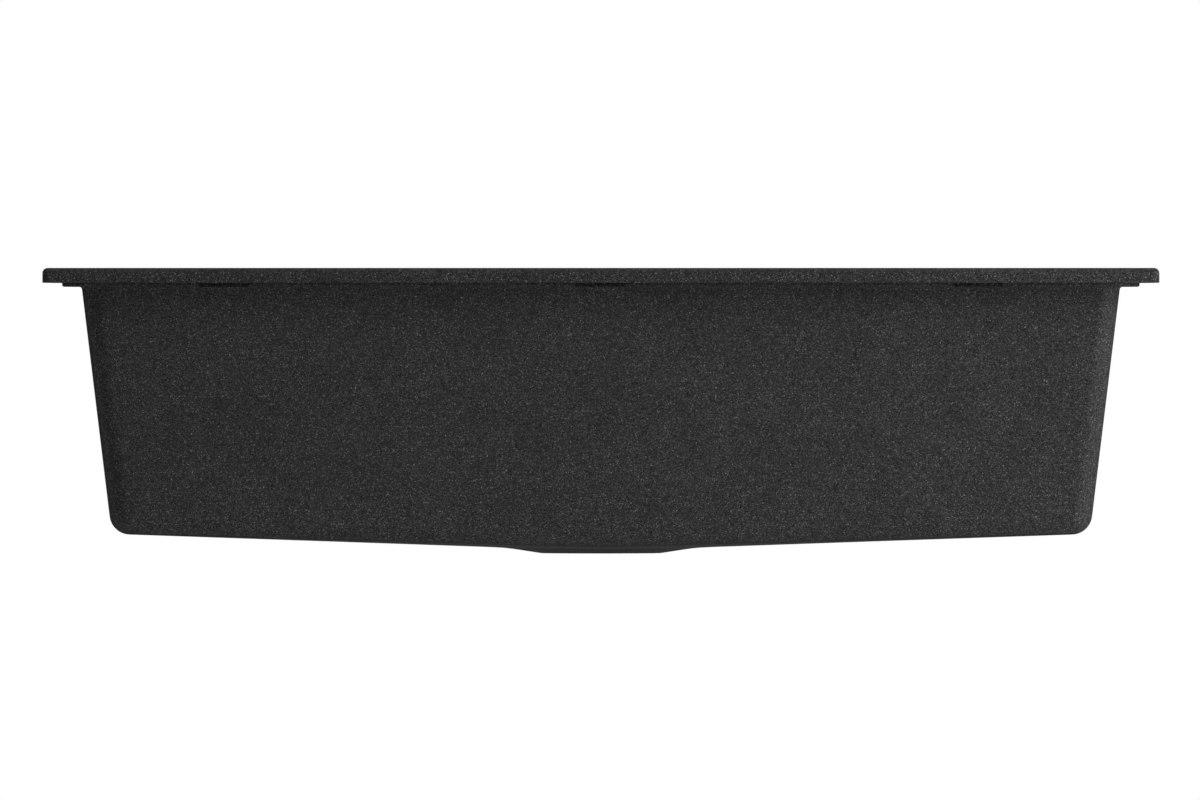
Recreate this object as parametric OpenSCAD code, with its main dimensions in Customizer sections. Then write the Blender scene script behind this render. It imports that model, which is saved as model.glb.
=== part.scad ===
// Drop-in workstation kitchen sink: one moulded composite body with a thin flat rim, a ledge along
// the front and rear of its opening, and what belongs on the ledge and in the bowl.
// Millimetres. X runs to the right, Y to the rear and Z up. The origin is the centre of the rim's
// underside, which lies on the worktop.

/* [Rim] */
// Width of the rim, left to right
rim_width = 838.2; // [780:0.1:920]
// Depth of the rim, front to rear
rim_depth = 558.8; // [520:0.1:620]
// Height of the rim above the worktop
rim_thickness = 11.2; // [9:0.1:16]
// Radius of the rim's corners, seen from above
rim_corner_radius = 5; // [4.5:0.1:20]
// Radius along the rim's upper edge
rim_edge_radius = 4; // [1:0.1:4.4]
// Distance from the rim's edge to the step that drops into the cut-out
step_inset = 14.3; // [10:0.1:20]
// How far the step reaches below the worktop's surface
step_height = 3; // [2:0.1:6]
// Radius along the step's lower edge
step_edge_radius = 1.5; // [0.5:0.1:1.8]
// Radius of the step's corners, seen from above
step_corner_radius = 24; // [5:0.5:30]

/* [Bowl] */
// Distance from the rim's edge to the top of the outer wall, at the front and the ends
wall_inset = 28.5; // [25:0.1:32]
// Distance from the rim's edge to the opening, at the front and the ends
opening_inset = 40; // [38:0.5:50]
// Width of the deck behind the opening
deck_width = 95; // [80:1:120]
// Slope of the outer walls from upright, in degrees
wall_draft = 6.84; // [4:0.01:8]
// Thickness of the wall at its foot and of the floor
wall_thickness = 9.5; // [8:0.1:11]
// Depth of the bowl's underside at its ends, below the worktop's surface
end_depth = 189.4; // [160:0.1:210]
// Slope of the floor from the ends down to the drain, in degrees
floor_slope = 2.25; // [1.5:0.01:3]
// How much deeper the floor's front and rear edges lie at mid-length than at the ends
edge_dip = 10; // [2:0.1:10.4]
// Radius of the upright outer corners
outer_corner_radius = 16; // [15.6:0.1:40]
// Radius of the upright inner corners
inner_corner_radius = 15; // [13.5:0.1:30]
// Radius where the outer walls turn into the floor
outer_fillet = 15.5; // [8:0.1:15.5]
// Radius where the inner walls turn into the floor
inner_fillet = 13; // [6:0.1:13.4]
// Radius along the opening's upper edge
opening_edge_radius = 4; // [1:0.1:6]

/* [Ledge] */
// Width of the ledge along the front and the rear
ledge_width = 12; // [9:0.1:20]
// Width of the same step across the ends
ledge_end_width = 2; // [1:0.1:6]
// Depth of the ledge below the top of the rim
ledge_drop = 19; // [15:0.1:24]

/* [Drain and tap] */
// Diameter of the drain hole
drain_diameter = 88.9; // [70:0.1:92]
// Length of the drain hole's straight wall
drain_wall = 8.5; // [6:0.1:9.5]
// How far the boss's flat end lies below the floor round the boss
boss_drop = 3.75; // [2:0.05:6]
// Slope of the boss's side from level, in degrees
boss_slope = 9.1; // [7:0.1:20]
// Width of the flat round the hole at the boss's end
boss_lip = 0.95; // [0.5:0.05:4]
// Diameter of the recess for a strainer's flange
recess_diameter = 117; // [112:0.5:119]
// Fall of the recess from its edge to the hole
recess_fall = 3; // [1:0.1:4]
// Diameter of the tap hole in the deck
tap_diameter = 35; // [25:0.5:38]

/* [Clip pockets] */
// Width of a clip pocket
pocket_width = 37.5; // [20:0.5:60]
// How far a pocket is set back into the step at the top of its slope
pocket_depth = 1.7; // [1.2:0.1:4]
// How far a pocket is set back at the step's underside
pocket_foot_depth = 0.7; // [0.4:0.1:1.1]
// Thickness of the step that is left above the slope, so that the rim's seat stays whole
pocket_roof = 0.3; // [0.2:0.1:0.6]
// Width of the slot at each end of a pocket
slot_width = 2; // [1:0.1:4]
// How far a slot is set back into the step
slot_depth = 6; // [4:0.1:9]
// Spacing of the pockets along the front and the rear
long_pocket_pitch = 283; // [150:1:330]
// Spacing of the pockets along the ends
end_pocket_pitch = 250; // [120:1:360]

/* [Cutting board] */
// Length of the board along the sink
board_length = 300; // [200:1:360]
// Thickness of the board
board_thickness = 17; // [12:0.1:20]
// Radius of the board's corners
board_corner_radius = 18; // [17:0.5:40]
// Distance from the board's edge to the middle of its juice groove
groove_inset = 22; // [16:0.5:40]
// Width of the juice groove
groove_width = 9; // [5:0.5:14]
// Depth of the juice groove
groove_depth = 3; // [1:0.1:4]
// Diameter of the pads under the board
pad_diameter = 9; // [5:0.1:10]
// Thickness of the pads
pad_thickness = 3; // [2:0.1:5]
// How far the pads are let into the board
pad_sink = 2; // [1:0.1:2.2]
// Distance from the board's ends to the pads
pad_inset = 30; // [20:1:60]

/* [Drying rack] */
// Number of bars
bar_count = 13; // [7:1:15]
// Spacing of the bars
bar_pitch = 18; // [14:0.5:20]
// Diameter of the bars
bar_diameter = 6.4; // [5:0.1:8]
// Width of the bands that hold the bars
band_width = 10; // [8:0.1:11]
// Height of the bands
band_height = 10; // [9.5:0.1:14]
// Distance from the band's ends to the first and last bars
band_end = 12; // [8:0.5:20]
// Thickness of the band past the bars' ends
band_skin = 1.6; // [1:0.1:3]

/* [Bottom grid] */
// Height of the frame wire's underside above the floor at the ends
grid_height = 16; // [14:0.5:40]
// Diameter of the frame wire
frame_wire = 6; // [4:0.1:8]
// Diameter of the inner wires
inner_wire = 5; // [3:0.1:6]
// Radius of the frame's corners
frame_corner_radius = 25; // [15:1:60]
// Spacing of the short wires
short_wire_pitch = 32; // [26:1:50]
// Distance from the middle of the grid to the long wires on each side
long_wire_offset = 95; // [86:1:120]
// Diameter of the ring round the drain, at the middle of its wire
ring_diameter = 144; // [126:1:150]
// Distance from the middle of the grid to the outer legs
leg_offset = 296; // [200:1:300]
// Diameter of the feet
foot_diameter = 14; // [10:0.5:20]
// Height of the feet
foot_height = 11; // [8:0.5:12]
// Depth of the socket in each foot
foot_socket = 7; // [4:0.5:7.5]
// Outer diameter of the bumpers
bumper_diameter = 12; // [9:0.5:14]
// Length of the bumpers
bumper_length = 16; // [10:0.5:18]
// Distance from the middle of the front and rear frame wires to their bumpers, in wire spacings
bumper_station = 6.5; // [3.5:1:8.5]
// Distance from the middle of the end frame wires to their bumpers
end_bumper_offset = 48; // [20:1:70]

/* [Drain cap] */
// Space between the cap's edge and the edge of the recess
cap_clearance = 3.5; // [3:0.1:9]
// Thickness of the plate
cap_thickness = 2.5; // [1.5:0.1:4]
// Diameter of the cap's feet
cap_foot_diameter = 6; // [4:0.1:8]
// Distance from the cap's edge to the middle of its feet
cap_foot_inset = 5; // [4:0.1:6]
// Height of the cap's feet
cap_foot_height = 2; // [1:0.1:4]
// Diameter of the knob's head
knob_diameter = 20; // [14:0.5:30]
// Thickness of the knob's head
knob_head = 5; // [3:0.1:7]
// Diameter of the knob's stem
knob_stem = 12; // [6:0.5:13]
// Height of the knob
knob_height = 14; // [10:0.5:20]

/* [Fits] */
// Space between the ledge's walls and what lies on the ledge
side_gap = 1.4; // [0.8:0.1:3]
// Space between a piece and what it rests on
seat_gap = 0.3; // [0.2:0.05:0.6]
// Space between wires that touch, and round what slips onto them
wire_gap = 0.1; // [0.05:0.01:0.2]
// Space between the bumpers and the bowl's walls
bumper_gap = 1.5; // [1:0.1:4]

/* [Hidden] */
$fn = 48;

composite_grey = [0.19, 0.19, 0.19];
oak_brown = [0.66, 0.45, 0.26];
steel_grey = [0.74, 0.74, 0.75];
silicone_grey = [0.25, 0.26, 0.27];

// A cut runs this far past the faces that it opens.
cut_past = 1;
// Steps in a quarter turn of a moulded corner, a fillet or a rounded edge, and points along the sides
corner_steps = 6;
fillet_steps = 6;
edge_steps = 4;
long_side_steps = 8;
end_side_steps = 4;

// The opening and the bowl share one centre line, which the deck moves forward of the rim's middle.
bowl_y = (opening_inset - deck_width) / 2;
opening_half_x = rim_width / 2 - opening_inset;
opening_half_y = (rim_depth - opening_inset - deck_width) / 2;
wall_at_opening = opening_inset - wall_inset;
outer_half_x = opening_half_x + wall_at_opening;
outer_half_y = opening_half_y + wall_at_opening;
ledge_z = rim_thickness - ledge_drop;

// The drain's heights follow from the floor's fall between its ends and the throat, a round ring
// just outside the recess. The boss's cone runs on into the floor by its root.
throat_margin = 1.5;
throat_radius = recess_diameter / 2 + throat_margin;
end_floor_x = outer_half_x - (end_depth - outer_fillet) * tan(wall_draft)
    - outer_fillet / cos(wall_draft);
throat_z = -end_depth - (end_floor_x - throat_radius) * tan(floor_slope);
outlet_z = throat_z - boss_drop;
boss_radius = drain_diameter / 2 + boss_lip;
recess_z = outlet_z + drain_wall;
boss_root = 2;
boss_top_z = throat_z + boss_root;

// The inner walls run straight from the ledge to a foot of the stated thickness.
foot_z = wall_thickness - end_depth;
ledge_half_x = opening_half_x - ledge_end_width;
ledge_half_y = opening_half_y - ledge_width;
foot_half_x = outer_half_x + foot_z * tan(wall_draft) - wall_thickness;
foot_half_y = outer_half_y + foot_z * tan(wall_draft) - wall_thickness;
inner_slope_x = (ledge_half_x - foot_half_x) / (ledge_z - foot_z);
inner_slope_y = (ledge_half_y - foot_half_y) / (ledge_z - foot_z);

tap_y = rim_depth / 2 - deck_width / 2;

// What lies on the ledge keeps clear of the opening's round corners.
rest_z = ledge_z + seat_gap;
span_half_y = opening_half_y - side_gap;
corner_clearance = 0.5;
end_gap = inner_corner_radius / 2 + corner_clearance;
rest_end_x = opening_half_x - end_gap;
board_left_x = rest_end_x - board_length;
board_base_z = rest_z + pad_thickness - pad_sink;
pad_y = opening_half_y - ledge_width / 2;
rack_left_x = -rest_end_x;
band_length = (bar_count - 1) * bar_pitch + 2 * band_end;
bar_half_length = span_half_y - band_skin;
bar_z = rest_z + band_height / 2;

// The grid keeps the bumpers off the walls, which are nearest at the bumpers' lower side.
frame_z = foot_z + grid_height + frame_wire / 2;
frame_low_z = frame_z - bumper_diameter / 2;
frame_half_x = whole_tenths(inner_half_x(frame_low_z) - bumper_gap - bumper_diameter / 2);
frame_half_y = whole_tenths(inner_half_y(frame_low_z) - bumper_gap - bumper_diameter / 2);
short_z = frame_z + frame_wire / 2 + inner_wire / 2 + wire_gap;
long_z = short_z - inner_wire - wire_gap;
short_count = floor((frame_half_x - short_wire_pitch / 2) / short_wire_pitch);
leg_top_z = long_z - inner_wire / 2 - wire_gap;
foot_radius = foot_diameter / 2;

// The cap's feet stand on the recess's slope, and its plate stays inside the recess's edge.
cap_diameter = recess_diameter - 2 * cap_clearance;
cap_foot_offset = cap_diameter / 2 - cap_foot_inset;
cap_foot_z = recess_surface_z(cap_foot_offset + cap_foot_diameter / 2) + seat_gap;
cap_z = cap_foot_z + cap_foot_height;

// A size cut down to whole tenths of a millimetre
function whole_tenths(size) = floor(size * 10) / 10;

// Half the bowl's inner length and depth at a height below the ledge
function inner_half_x(z) = foot_half_x + (z - foot_z) * inner_slope_x;
function inner_half_y(z) = foot_half_y + (z - foot_z) * inner_slope_y;

// Height of the recess's slope at a distance from the drain's centre
function recess_surface_z(radius) =
    recess_z + recess_fall * (radius - drain_diameter / 2) / (recess_diameter / 2 - drain_diameter / 2);

// A ring's points are stations: shares of the straight sides along X and Y, then the direction in
// which the corner's radius carries the point outward. They run counterclockwise from the front right.
function corner_stations(side_x, side_y, start) =
    [for (i = [0:corner_steps])
        [side_x, side_y, cos(start + 90 * i / corner_steps), sin(start + 90 * i / corner_steps)]];
function shares(count) = [for (i = [1:count - 1]) -1 + 2 * i / count];
STATIONS = concat(
    corner_stations(1, -1, -90),
    [for (t = shares(end_side_steps)) [1, t, 1, 0]],
    corner_stations(1, 1, 0),
    [for (t = shares(long_side_steps)) [-t, 1, 0, 1]],
    corner_stations(-1, 1, 90),
    [for (t = shares(end_side_steps)) [-1, -t, -1, 0]],
    corner_stations(-1, -1, 180),
    [for (t = shares(long_side_steps)) [t, -1, 0, -1]]);

// One point of a rounded rectangle, and a whole level one
function place(s, half_x, half_y, radius, centre_y, z) =
    [s[0] * (half_x - radius) + s[2] * radius, centre_y + s[1] * (half_y - radius) + s[3] * radius, z];
function level_ring(half_x, half_y, radius, centre_y, z) =
    [for (s = STATIONS) place(s, half_x, half_y, radius, centre_y, z)];

// A ring of the rim's or the step's outline, drawn in by an inset
function rim_ring(inset, radius, z) =
    level_ring(rim_width / 2 - inset, rim_depth / 2 - inset, radius, 0, z);

// Depth of the floor's edge below its depth at the ends: it dips towards mid-length.
function dip_at(s) = edge_dip * (1 - abs(s[0]));

// A ring of the fillet between the drafted walls and the floor, at an angle below level.
// half_x and half_y are the walls' sizes at edge_z, and grow by slope_x and slope_y with height.
function fillet_point(s, angle, half_x, half_y, slope_x, slope_y, radius, corner, edge_z) =
    let (draw_x = radius * (1 / cos(atan(slope_x)) - cos(angle)) - (radius - dip_at(s)) * slope_x)
    let (draw_y = radius * (1 / cos(atan(slope_y)) - cos(angle)) - (radius - dip_at(s)) * slope_y)
    let (z = edge_z - dip_at(s) + radius - radius * sin(angle))
    place(s, half_x - draw_x, half_y - draw_y, corner - radius * (1 - cos(angle)), bowl_y, z);

function outer_fillet_ring(angle) =
    let (slope = tan(wall_draft))
    [for (s = STATIONS)
        fillet_point(s, angle, outer_half_x - end_depth * slope, outer_half_y - end_depth * slope,
            slope, slope, outer_fillet, outer_corner_radius, -end_depth)];

function inner_fillet_ring(angle) =
    [for (s = STATIONS)
        fillet_point(s, angle, foot_half_x, foot_half_y, inner_slope_x, inner_slope_y,
            inner_fillet, inner_corner_radius, foot_z)];

// The round ring where a floor ends at the drain, each point in line with its own point of the edge
function throat_ring(edge, z) =
    [for (p = edge)
        let (angle = atan2(p[1] - bowl_y, p[0]))
        [throat_radius * cos(angle), bowl_y + throat_radius * sin(angle), z]];

// Height of the bowl's floor at a place outside the throat
function floor_z(x, y) =
    let (half_x = inner_half_x(foot_z + inner_fillet) - inner_fillet)
    let (half_y = inner_half_y(foot_z + inner_fillet) - inner_fillet)
    let (reach = max(abs(x) / half_x, abs(y - bowl_y) / half_y))
    let (edge_share = abs(x) / half_x / reach)
    let (edge_z = foot_z - edge_dip * (1 - edge_share))
    let (distance = norm([x, y - bowl_y]))
    let (centre_z = throat_z + wall_thickness)
    centre_z + (edge_z - centre_z) * (distance - throat_radius) / (distance / reach - throat_radius);

// Height of a foot's underside, level with the highest floor beneath it
function foot_base_z(x, y) =
    seat_gap + max([for (i = [-1, 1]) floor_z(x + i * foot_radius, y)]);

// A closed solid through a list of rings, from the top down, with each end fanned round its middle
module loft(rings) {
    count = len(STATIONS);
    last = (len(rings) - 1) * count;
    middle = len(rings) * count;
    top_z = rings[0][0][2];
    bottom_z = rings[len(rings) - 1][0][2];
    points = concat([for (ring = rings) for (p = ring) p], [[0, bowl_y, top_z], [0, bowl_y, bottom_z]]);
    sides = [for (i = [0:len(rings) - 2]) for (j = [0:count - 1])
        let (a = i * count + j, b = i * count + (j + 1) % count)
        for (face = [[a, b, b + count], [a, b + count, a + count]]) face];
    top = [for (j = [0:count - 1]) [middle, (j + 1) % count, j]];
    bottom = [for (j = [0:count - 1]) [middle + 1, last + j, last + (j + 1) % count]];
    polyhedron(points = points, faces = concat(top, sides, bottom));
}

module rounded_plate(half_x, half_y, radius, thickness) {
    linear_extrude(thickness) {
        square([2 * half_x, 2 * (half_y - radius)], center = true);
        square([2 * (half_x - radius), 2 * half_y], center = true);
        for (i = [-1, 1])
            for (j = [-1, 1])
                translate([i * (half_x - radius), j * (half_y - radius)])
                    circle(radius);
    }
}

// A closed loop of round wire, level, with round corners
module wire_loop(half_x, half_y, corner, diameter) {
    for (i = [-1, 1]) {
        translate([i * half_x, 0, 0])
            rotate([90, 0, 0])
                cylinder(h = 2 * (half_y - corner), d = diameter, center = true);
        translate([0, i * half_y, 0])
            rotate([0, 90, 0])
                cylinder(h = 2 * (half_x - corner), d = diameter, center = true);
    }
    for (quarter = [0:3])
        rotate([0, 0, 90 * quarter])
            translate(quarter % 2 == 0
                ? [half_x - corner, half_y - corner]
                : [half_y - corner, half_x - corner])
                rotate_extrude(angle = 90)
                    translate([corner, 0])
                        circle(d = diameter);
}

// The outer form: rim, step, walls, fillet and floor
module body_form() {
    edge_angles = [for (i = [0:edge_steps]) 90 - 90 * i / edge_steps];
    fillet_angles = [for (i = [0:fillet_steps]) wall_draft + (90 - wall_draft) * i / fillet_steps];
    step_radius = step_edge_radius;
    rim_rings = [for (a = edge_angles)
        let (inset = rim_edge_radius * (1 - cos(a)))
        rim_ring(inset, rim_corner_radius - inset, rim_thickness - rim_edge_radius * (1 - sin(a)))];
    step_rings = [for (i = [0:2])
        let (inset = step_radius * (1 - cos(45 * i)))
        rim_ring(step_inset + inset, step_corner_radius - inset,
            step_radius - step_height - step_radius * sin(45 * i))];
    wall_top = level_ring(outer_half_x - step_height * tan(wall_draft),
        outer_half_y - step_height * tan(wall_draft), outer_corner_radius, bowl_y, -step_height);
    fillet_rings = [for (a = fillet_angles) outer_fillet_ring(a)];
    loft(concat(
        rim_rings,
        [rim_ring(0, rim_corner_radius, 0), rim_ring(step_inset, step_corner_radius, 0)],
        step_rings,
        [wall_top],
        fillet_rings,
        [throat_ring(fillet_rings[fillet_steps], throat_z)]));
}

// The space inside: the opening with its rounded edge, the ledge, the walls, the fillet and the floor
module bowl_space() {
    edge_angles = [for (i = [0:edge_steps]) 90 * i / edge_steps];
    start_angle = atan(inner_slope_y);
    fillet_angles = [for (i = [0:fillet_steps]) start_angle + (90 - start_angle) * i / fillet_steps];
    edge_rings = [for (a = edge_angles)
        let (flare = opening_edge_radius * (1 - sin(a)))
        level_ring(opening_half_x + flare, opening_half_y + flare, inner_corner_radius + flare, bowl_y,
            rim_thickness - opening_edge_radius * (1 - cos(a)))];
    flare = opening_edge_radius;
    above = level_ring(opening_half_x + flare, opening_half_y + flare, inner_corner_radius + flare,
        bowl_y, rim_thickness + cut_past);
    ledge_rings = [
        level_ring(opening_half_x, opening_half_y, inner_corner_radius, bowl_y, ledge_z),
        level_ring(ledge_half_x, ledge_half_y, inner_corner_radius, bowl_y, ledge_z)];
    fillet_rings = [for (a = fillet_angles) inner_fillet_ring(a)];
    loft(concat([above], edge_rings, ledge_rings, fillet_rings,
        [throat_ring(fillet_rings[fillet_steps], throat_z + wall_thickness)]));
}

module drain_boss() {
    translate([0, bowl_y, outlet_z])
        cylinder(h = boss_top_z - outlet_z, r1 = boss_radius,
            r2 = boss_radius + (boss_top_z - outlet_z) / tan(boss_slope));
}

module drain_cut() {
    hole = drain_diameter / 2;
    recess = recess_diameter / 2;
    translate([0, bowl_y, 0])
        rotate_extrude()
            polygon([[0, outlet_z - cut_past], [hole, outlet_z - cut_past], [hole, recess_z],
                [recess, recess_z + recess_fall], [recess, throat_z + wall_thickness + cut_past],
                [0, throat_z + wall_thickness + cut_past]]);
}

// A clip pocket in the step's face, drawn for a face at Y = 0 that looks to the front: a slope that is
// deepest near the rim and comes out at the step's underside, with a slot at each end
module pocket_cut() {
    slope = (pocket_depth - pocket_foot_depth) / (step_height - pocket_roof);
    cut_end = -step_height - cut_past;
    translate([-pocket_width / 2, 0, 0]) {
        rotate([90, 0, 90])
            linear_extrude(pocket_width)
                polygon([[pocket_depth, -pocket_roof], [-cut_past, -pocket_roof], [-cut_past, cut_end],
                    [pocket_foot_depth - cut_past * slope, cut_end]]);
        for (x = [0, pocket_width - slot_width])
            translate([x, -cut_past, -step_height - cut_past])
                cube([slot_width, slot_depth + cut_past, step_height + cut_past]);
    }
}

module pocket_cuts() {
    front_y = step_inset - rim_depth / 2;
    end_x = step_inset - rim_width / 2;
    for (side = [0, 180])
        rotate([0, 0, side]) {
            for (i = [-1:1])
                translate([i * long_pocket_pitch, front_y, 0])
                    pocket_cut();
            for (i = [-1, 1])
                translate([end_x, i * end_pocket_pitch / 2, 0])
                    rotate([0, 0, -90])
                        pocket_cut();
        }
}

module sink_body() {
    color(composite_grey)
        difference() {
            union() {
                body_form();
                drain_boss();
            }
            bowl_space();
            drain_cut();
            translate([0, tap_y, -step_height - cut_past])
                cylinder(h = rim_thickness + step_height + 2 * cut_past, d = tap_diameter);
            pocket_cuts();
        }
}

// The pads stand in blind sockets, two over each ledge.
module at_pads() {
    for (x = [board_left_x + pad_inset, rest_end_x - pad_inset])
        for (side = [-1, 1])
            translate([x, bowl_y + side * pad_y, rest_z])
                children();
}

module cutting_board() {
    groove_radius = (groove_width * groove_width / 4 + groove_depth * groove_depth) / (2 * groove_depth);
    centre = [board_left_x + board_length / 2, bowl_y, board_base_z];
    color(oak_brown)
        difference() {
            translate(centre)
                rounded_plate(board_length / 2, span_half_y, board_corner_radius, board_thickness);
            translate(centre + [0, 0, board_thickness - groove_depth + groove_radius])
                wire_loop(board_length / 2 - groove_inset, span_half_y - groove_inset,
                    board_corner_radius, 2 * groove_radius);
            at_pads()
                cylinder(h = pad_thickness, d = pad_diameter + 2 * wire_gap);
        }
}

module board_pads() {
    color(silicone_grey)
        at_pads()
            cylinder(h = pad_thickness, d = pad_diameter);
}

module at_bars() {
    for (i = [0:bar_count - 1])
        translate([rack_left_x + band_end + i * bar_pitch, bowl_y, bar_z])
            rotate([90, 0, 0])
                children();
}

module rack_bars() {
    color(steel_grey)
        at_bars()
            cylinder(h = 2 * bar_half_length, d = bar_diameter, center = true);
}

// A band along one ledge, with a blind socket for each bar's end
module rack_band(side) {
    band_y = bowl_y + side * (span_half_y - band_width / 2);
    color(silicone_grey)
        difference() {
            translate([rack_left_x + band_length / 2, band_y, rest_z])
                rounded_plate(band_length / 2, band_width / 2, band_width / 2 - wire_gap, band_height);
            at_bars()
                cylinder(h = 2 * (bar_half_length + wire_gap), d = bar_diameter + 2 * wire_gap,
                    center = true);
        }
}

module rack_band_front() {
    rack_band(-1);
}

module rack_band_rear() {
    rack_band(1);
}

module grid_frame() {
    color(steel_grey)
        translate([0, bowl_y, frame_z])
            wire_loop(frame_half_x, frame_half_y, frame_corner_radius, frame_wire);
}

// A straight inner wire between two places at one height
module wire_y(x, from_y, to_y) {
    translate([x, bowl_y + from_y, short_z])
        rotate([-90, 0, 0])
            cylinder(h = to_y - from_y, d = inner_wire);
}

module wire_x(y, from_x, to_x) {
    translate([from_x, bowl_y + y, long_z])
        rotate([0, 90, 0])
            cylinder(h = to_x - from_x, d = inner_wire);
}

// The short wires lie on the frame, and those over the drain stop on its ring.
module grid_short_wires() {
    ring_radius = ring_diameter / 2;
    lap = inner_wire / 4;
    color(steel_grey)
        for (i = [-short_count:short_count]) {
            x = i * short_wire_pitch;
            if (abs(x) > ring_radius + inner_wire)
                wire_y(x, -frame_half_y - lap, frame_half_y + lap);
            else {
                start = abs(x) < ring_radius ? sqrt(ring_radius * ring_radius - x * x) - lap : lap;
                wire_y(x, start, frame_half_y + lap);
                wire_y(x, -frame_half_y - lap, -start);
            }
        }
}

// The long wires lie under the short ones and meet the inside of the frame and of the ring.
module grid_long_wires() {
    end_x = frame_half_x - frame_wire / 2 - wire_gap;
    start_x = ring_diameter / 2 + inner_wire / 2 + wire_gap;
    color(steel_grey) {
        for (side = [-1, 1])
            wire_x(side * long_wire_offset, -end_x, end_x);
        wire_x(0, start_x, end_x);
        wire_x(0, -end_x, -start_x);
    }
}

module grid_drain_ring() {
    color(steel_grey)
        translate([0, bowl_y, long_z])
            rotate_extrude()
                translate([ring_diameter / 2, 0])
                    circle(d = inner_wire);
}

// Each leg hangs from a long wire over a place on the floor, and ends in its foot's socket.
LEG_PLACES = [for (x = [-leg_offset, 0, leg_offset]) for (side = [-1, 1])
    [x, bowl_y + side * long_wire_offset]];

module grid_legs() {
    color(steel_grey)
        for (p = LEG_PLACES) {
            leg_base_z = foot_base_z(p[0], p[1]) + foot_height - foot_socket + wire_gap;
            translate([p[0], p[1], leg_base_z])
                cylinder(h = leg_top_z - leg_base_z, d = inner_wire);
        }
}

module grid_feet() {
    color(silicone_grey)
        for (p = LEG_PLACES)
            translate([p[0], p[1], foot_base_z(p[0], p[1])])
                difference() {
                    cylinder(h = foot_height, d = foot_diameter);
                    translate([0, 0, foot_height - foot_socket])
                        cylinder(h = foot_socket + cut_past, d = inner_wire + 2 * wire_gap);
                }
}

module sleeve() {
    difference() {
        cylinder(h = bumper_length, d = bumper_diameter, center = true);
        cylinder(h = bumper_length + 2 * cut_past, d = frame_wire + 2 * wire_gap, center = true);
    }
}

module grid_bumpers() {
    color(silicone_grey)
        translate([0, bowl_y, frame_z])
            for (i = [-1, 1])
                for (j = [-1, 1]) {
                    translate([i * bumper_station * short_wire_pitch, j * frame_half_y, 0])
                        rotate([0, 90, 0])
                            sleeve();
                    translate([i * frame_half_x, j * end_bumper_offset, 0])
                        rotate([90, 0, 0])
                            sleeve();
                }
}

module drain_cap() {
    edge = cap_thickness / 2;
    color(steel_grey)
        translate([0, bowl_y, cap_z])
            rotate_extrude() {
                square([cap_diameter / 2 - edge, cap_thickness]);
                translate([cap_diameter / 2 - edge, edge])
                    circle(edge);
            }
}

module cap_feet() {
    color(silicone_grey)
        for (i = [0:2])
            translate([0, bowl_y, cap_foot_z])
                rotate([0, 0, 120 * i + 90])
                    translate([cap_foot_offset, 0, 0])
                        cylinder(h = cap_foot_height, d = cap_foot_diameter);
}

module cap_knob() {
    head_edge = knob_head / 2;
    color(steel_grey)
        translate([0, bowl_y, cap_z + cap_thickness])
            rotate_extrude() {
                square([knob_stem / 2, knob_height - knob_head]);
                translate([0, knob_height - knob_head])
                    square([knob_diameter / 2 - head_edge, knob_head]);
                translate([knob_diameter / 2 - head_edge, knob_height - head_edge])
                    circle(head_edge);
            }
}

sink_body();
cutting_board();
board_pads();
rack_bars();
rack_band_front();
rack_band_rear();
grid_frame();
grid_short_wires();
grid_long_wires();
grid_drain_ring();
grid_legs();
grid_feet();
grid_bumpers();
drain_cap();
cap_feet();
cap_knob();
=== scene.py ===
import math

import bmesh
import bpy
from mathutils import Matrix, Vector


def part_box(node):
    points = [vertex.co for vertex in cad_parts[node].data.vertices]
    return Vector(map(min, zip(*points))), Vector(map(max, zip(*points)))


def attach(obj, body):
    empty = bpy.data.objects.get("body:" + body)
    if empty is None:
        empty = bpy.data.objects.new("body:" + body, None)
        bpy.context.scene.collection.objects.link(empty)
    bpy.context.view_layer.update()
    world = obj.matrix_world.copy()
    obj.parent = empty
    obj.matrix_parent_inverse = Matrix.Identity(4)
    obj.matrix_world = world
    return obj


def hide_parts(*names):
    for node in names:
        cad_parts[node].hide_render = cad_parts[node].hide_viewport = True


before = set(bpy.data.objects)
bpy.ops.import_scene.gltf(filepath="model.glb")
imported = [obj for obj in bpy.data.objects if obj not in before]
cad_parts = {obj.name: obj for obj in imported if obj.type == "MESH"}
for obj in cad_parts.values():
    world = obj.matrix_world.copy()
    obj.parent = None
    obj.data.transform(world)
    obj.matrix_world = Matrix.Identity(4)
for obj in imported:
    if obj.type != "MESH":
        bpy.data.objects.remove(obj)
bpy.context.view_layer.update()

# Moulded body
# One casting of quartz sand in acrylic resin, about 9.5 mm thick, with the rim, the ledges, the drain
# boss and the clip pockets in it. It hangs in the worktop's cut-out by its rim and carries the rest.
rim_half_x, rim_half_y, rim_height = 0.4191, 0.2794, 0.0112
rim_corner, rim_edge, rim_foot_edge = 0.005, 0.004, 0.0006
step_inset, step_height, step_corner, step_edge = 0.0143, 0.003, 0.024, 0.0015
bowl_y = -0.0275
opening_half_x, opening_half_y, opening_edge = 0.3791, 0.2119, 0.004
ledge_z, ledge_half_x, ledge_half_y = -0.0078, 0.3771, 0.1999
ledge_edge, ledge_root = 0.0009, 0.0008
wall_half_x, wall_half_y, wall_draft = 0.3906, 0.2234, math.radians(6.84)
wall_thickness, wall_root, wall_corner, wall_fillet = 0.0095, 0.002, 0.016, 0.0155
inner_corner, inner_fillet = 0.015, 0.013
end_depth, edge_dip, dip_blend = 0.1894, 0.010, 0.06
floor_slope, throat_radius, throat_margin = math.radians(2.25), 0.060, 0.002
boss_radius, boss_drop, boss_slope, boss_blend = 0.0454, 0.00375, math.radians(9.1), 0.0008
drain_radius, drain_wall, drain_edge = 0.04445, 0.0085, 0.0008
recess_radius, recess_fall, recess_edge = 0.0585, 0.003, 0.001
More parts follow.
